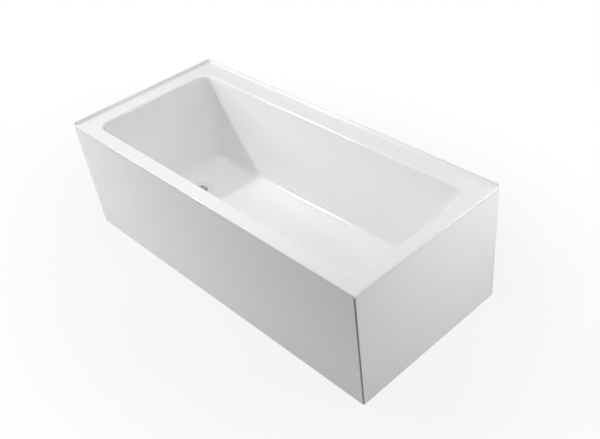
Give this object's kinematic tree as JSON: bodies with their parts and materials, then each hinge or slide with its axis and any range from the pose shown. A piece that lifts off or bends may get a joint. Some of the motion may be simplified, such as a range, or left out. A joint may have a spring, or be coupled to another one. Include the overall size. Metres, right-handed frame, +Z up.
{
  "type": "corner bathtub",
  "caption": "Rectangular white bathtub for a room corner: basin in a flat rim with wall upstands, apron panels, steel frame, levelling feet and pop-up waste.",
  "frame": {"origin": "on the floor, under the middle of the outline in plan", "axes": "+X along the bath from the waste end to the sloping backrest end, +Y from the open front panel to the wall, +Z up"},
  "size_m": [1.7, 0.75, 0.537],
  "materials": {
    "white_acrylic": "high gloss white acrylic",
    "white_panel": "gloss white sheet",
    "glass_fibre": "rough chopped-strand resin",
    "chipboard": "raw pressed board",
    "softwood": "planed, unvarnished",
    "grey_strip": "satin dark grey",
    "black_plastic": "moulded, fine grain",
    "galvanised_steel": "galvanised, dull spangle",
    "zinc_steel": "bright zinc plate",
    "chrome": "polished",
    "brass": "turned",
    "black_rubber": "matt",
    "white_plastic": "moulded, satin"
  },
  "bodies": {
    "bath": {"base_board": "chipboard", "bath_shell": "white_acrylic", "board_screws": "zinc_steel", "corner_post": "grey_strip", "end_panel": "white_panel", "end_panel_rails": "softwood", "end_panel_stiles": "softwood", "foot_locknuts": "zinc_steel", "foot_weld_nuts": "zinc_steel", "frame_bearer_1": "galvanised_steel", "frame_bearer_2": "galvanised_steel", "frame_bearer_3": "galvanised_steel", "frame_rail_back": "galvanised_steel", "frame_rail_end": "galvanised_steel", "frame_rail_front": "galvanised_steel", "frame_tube_caps": "black_plastic", "frame_upright_1": "galvanised_steel", "frame_upright_2": "galvanised_steel", "frame_upright_3": "galvanised_steel", "frame_upright_4": "galvanised_steel", "frame_upright_5": "galvanised_steel", "frame_upright_6": "galvanised_steel", "front_panel": "white_panel", "front_panel_rails": "softwood", "front_panel_stiles": "softwood", "panel_brackets": "galvanised_steel", "panel_screws": "zinc_steel", "plate_screws": "zinc_steel", "rim_batten_back": "softwood", "rim_batten_front": "softwood", "rim_batten_left": "softwood", "rim_batten_right": "softwood", "shell_backing": "glass_fibre", "trap_body": "white_plastic", "trap_inlet_nut": "white_plastic", "trap_inlet_washer": "black_rubber", "trap_outlet_nut": "white_plastic", "trap_outlet_washer": "black_rubber", "waste_backnut": "white_plastic", "waste_cartridge": "brass", "waste_flange": "chrome", "waste_lower_seal": "black_rubber", "waste_upper_seal": "black_rubber"},
    "plug": {"waste_plug": "chrome", "waste_plug_seal": "black_rubber"},
    "foot_1": {"foot_pad_1": "black_plastic"},
    "stud_1": {"foot_stud_1": "zinc_steel"},
    "foot_2": {"foot_pad_2": "black_plastic"},
    "stud_2": {"foot_stud_2": "zinc_steel"},
    "foot_3": {"foot_pad_3": "black_plastic"},
    "stud_3": {"foot_stud_3": "zinc_steel"},
    "foot_4": {"foot_pad_4": "black_plastic"},
    "stud_4": {"foot_stud_4": "zinc_steel"},
    "foot_5": {"foot_pad_5": "black_plastic"},
    "stud_5": {"foot_stud_5": "zinc_steel"},
    "foot_6": {"foot_pad_6": "black_plastic"},
    "stud_6": {"foot_stud_6": "zinc_steel"}
  },
  "joints": [
    {"name": "plug_lift", "type": "slide", "parent": "bath", "child": "plug", "axis": [0, 0, 1], "range_m": [0, 0.009]},
    {"name": "foot_1_raise", "type": "slide", "parent": "bath", "child": "foot_1", "axis": [0, 0, -1], "range_m": [0, 0.022]},
    {"name": "foot_1_turn", "type": "hinge", "parent": "foot_1", "child": "stud_1", "pos_m": [-0.78, -0.338, 0.045], "axis": [0, 0, -1], "range_deg": [0, 4526]},
    {"name": "foot_2_raise", "type": "slide", "parent": "bath", "child": "foot_2", "axis": [0, 0, -1], "range_m": [0, 0.022]},
    {"name": "foot_2_turn", "type": "hinge", "parent": "foot_2", "child": "stud_2", "pos_m": [-0.001, -0.338, 0.045], "axis": [0, 0, -1], "range_deg": [0, 4526]},
    {"name": "foot_3_raise", "type": "slide", "parent": "bath", "child": "foot_3", "axis": [0, 0, -1], "range_m": [0, 0.022]},
    {"name": "foot_3_turn", "type": "hinge", "parent": "foot_3", "child": "stud_3", "pos_m": [0.778, -0.338, 0.045], "axis": [0, 0, -1], "range_deg": [0, 4526]},
    {"name": "foot_4_raise", "type": "slide", "parent": "bath", "child": "foot_4", "axis": [0, 0, -1], "range_m": [0, 0.022]},
    {"name": "foot_4_turn", "type": "hinge", "parent": "foot_4", "child": "stud_4", "pos_m": [-0.78, 0.34, 0.045], "axis": [0, 0, -1], "range_deg": [0, 4526]},
    {"name": "foot_5_raise", "type": "slide", "parent": "bath", "child": "foot_5", "axis": [0, 0, -1], "range_m": [0, 0.022]},
    {"name": "foot_5_turn", "type": "hinge", "parent": "foot_5", "child": "stud_5", "pos_m": [-0.001, 0.34, 0.045], "axis": [0, 0, -1], "range_deg": [0, 4526]},
    {"name": "foot_6_raise", "type": "slide", "parent": "bath", "child": "foot_6", "axis": [0, 0, -1], "range_m": [0, 0.022]},
    {"name": "foot_6_turn", "type": "hinge", "parent": "foot_6", "child": "stud_6", "pos_m": [0.778, 0.34, 0.045], "axis": [0, 0, -1], "range_deg": [0, 4526]}
  ],
  "couplings": [
    {"joint": "foot_1_turn", "follows": "foot_1_raise", "rad_per_m": 3590.4},
    {"joint": "foot_2_turn", "follows": "foot_2_raise", "rad_per_m": 3590.4},
    {"joint": "foot_3_turn", "follows": "foot_3_raise", "rad_per_m": 3590.4},
    {"joint": "foot_4_turn", "follows": "foot_4_raise", "rad_per_m": 3590.4},
    {"joint": "foot_5_turn", "follows": "foot_5_raise", "rad_per_m": 3590.4},
    {"joint": "foot_6_turn", "follows": "foot_6_raise", "rad_per_m": 3590.4}
  ]
}
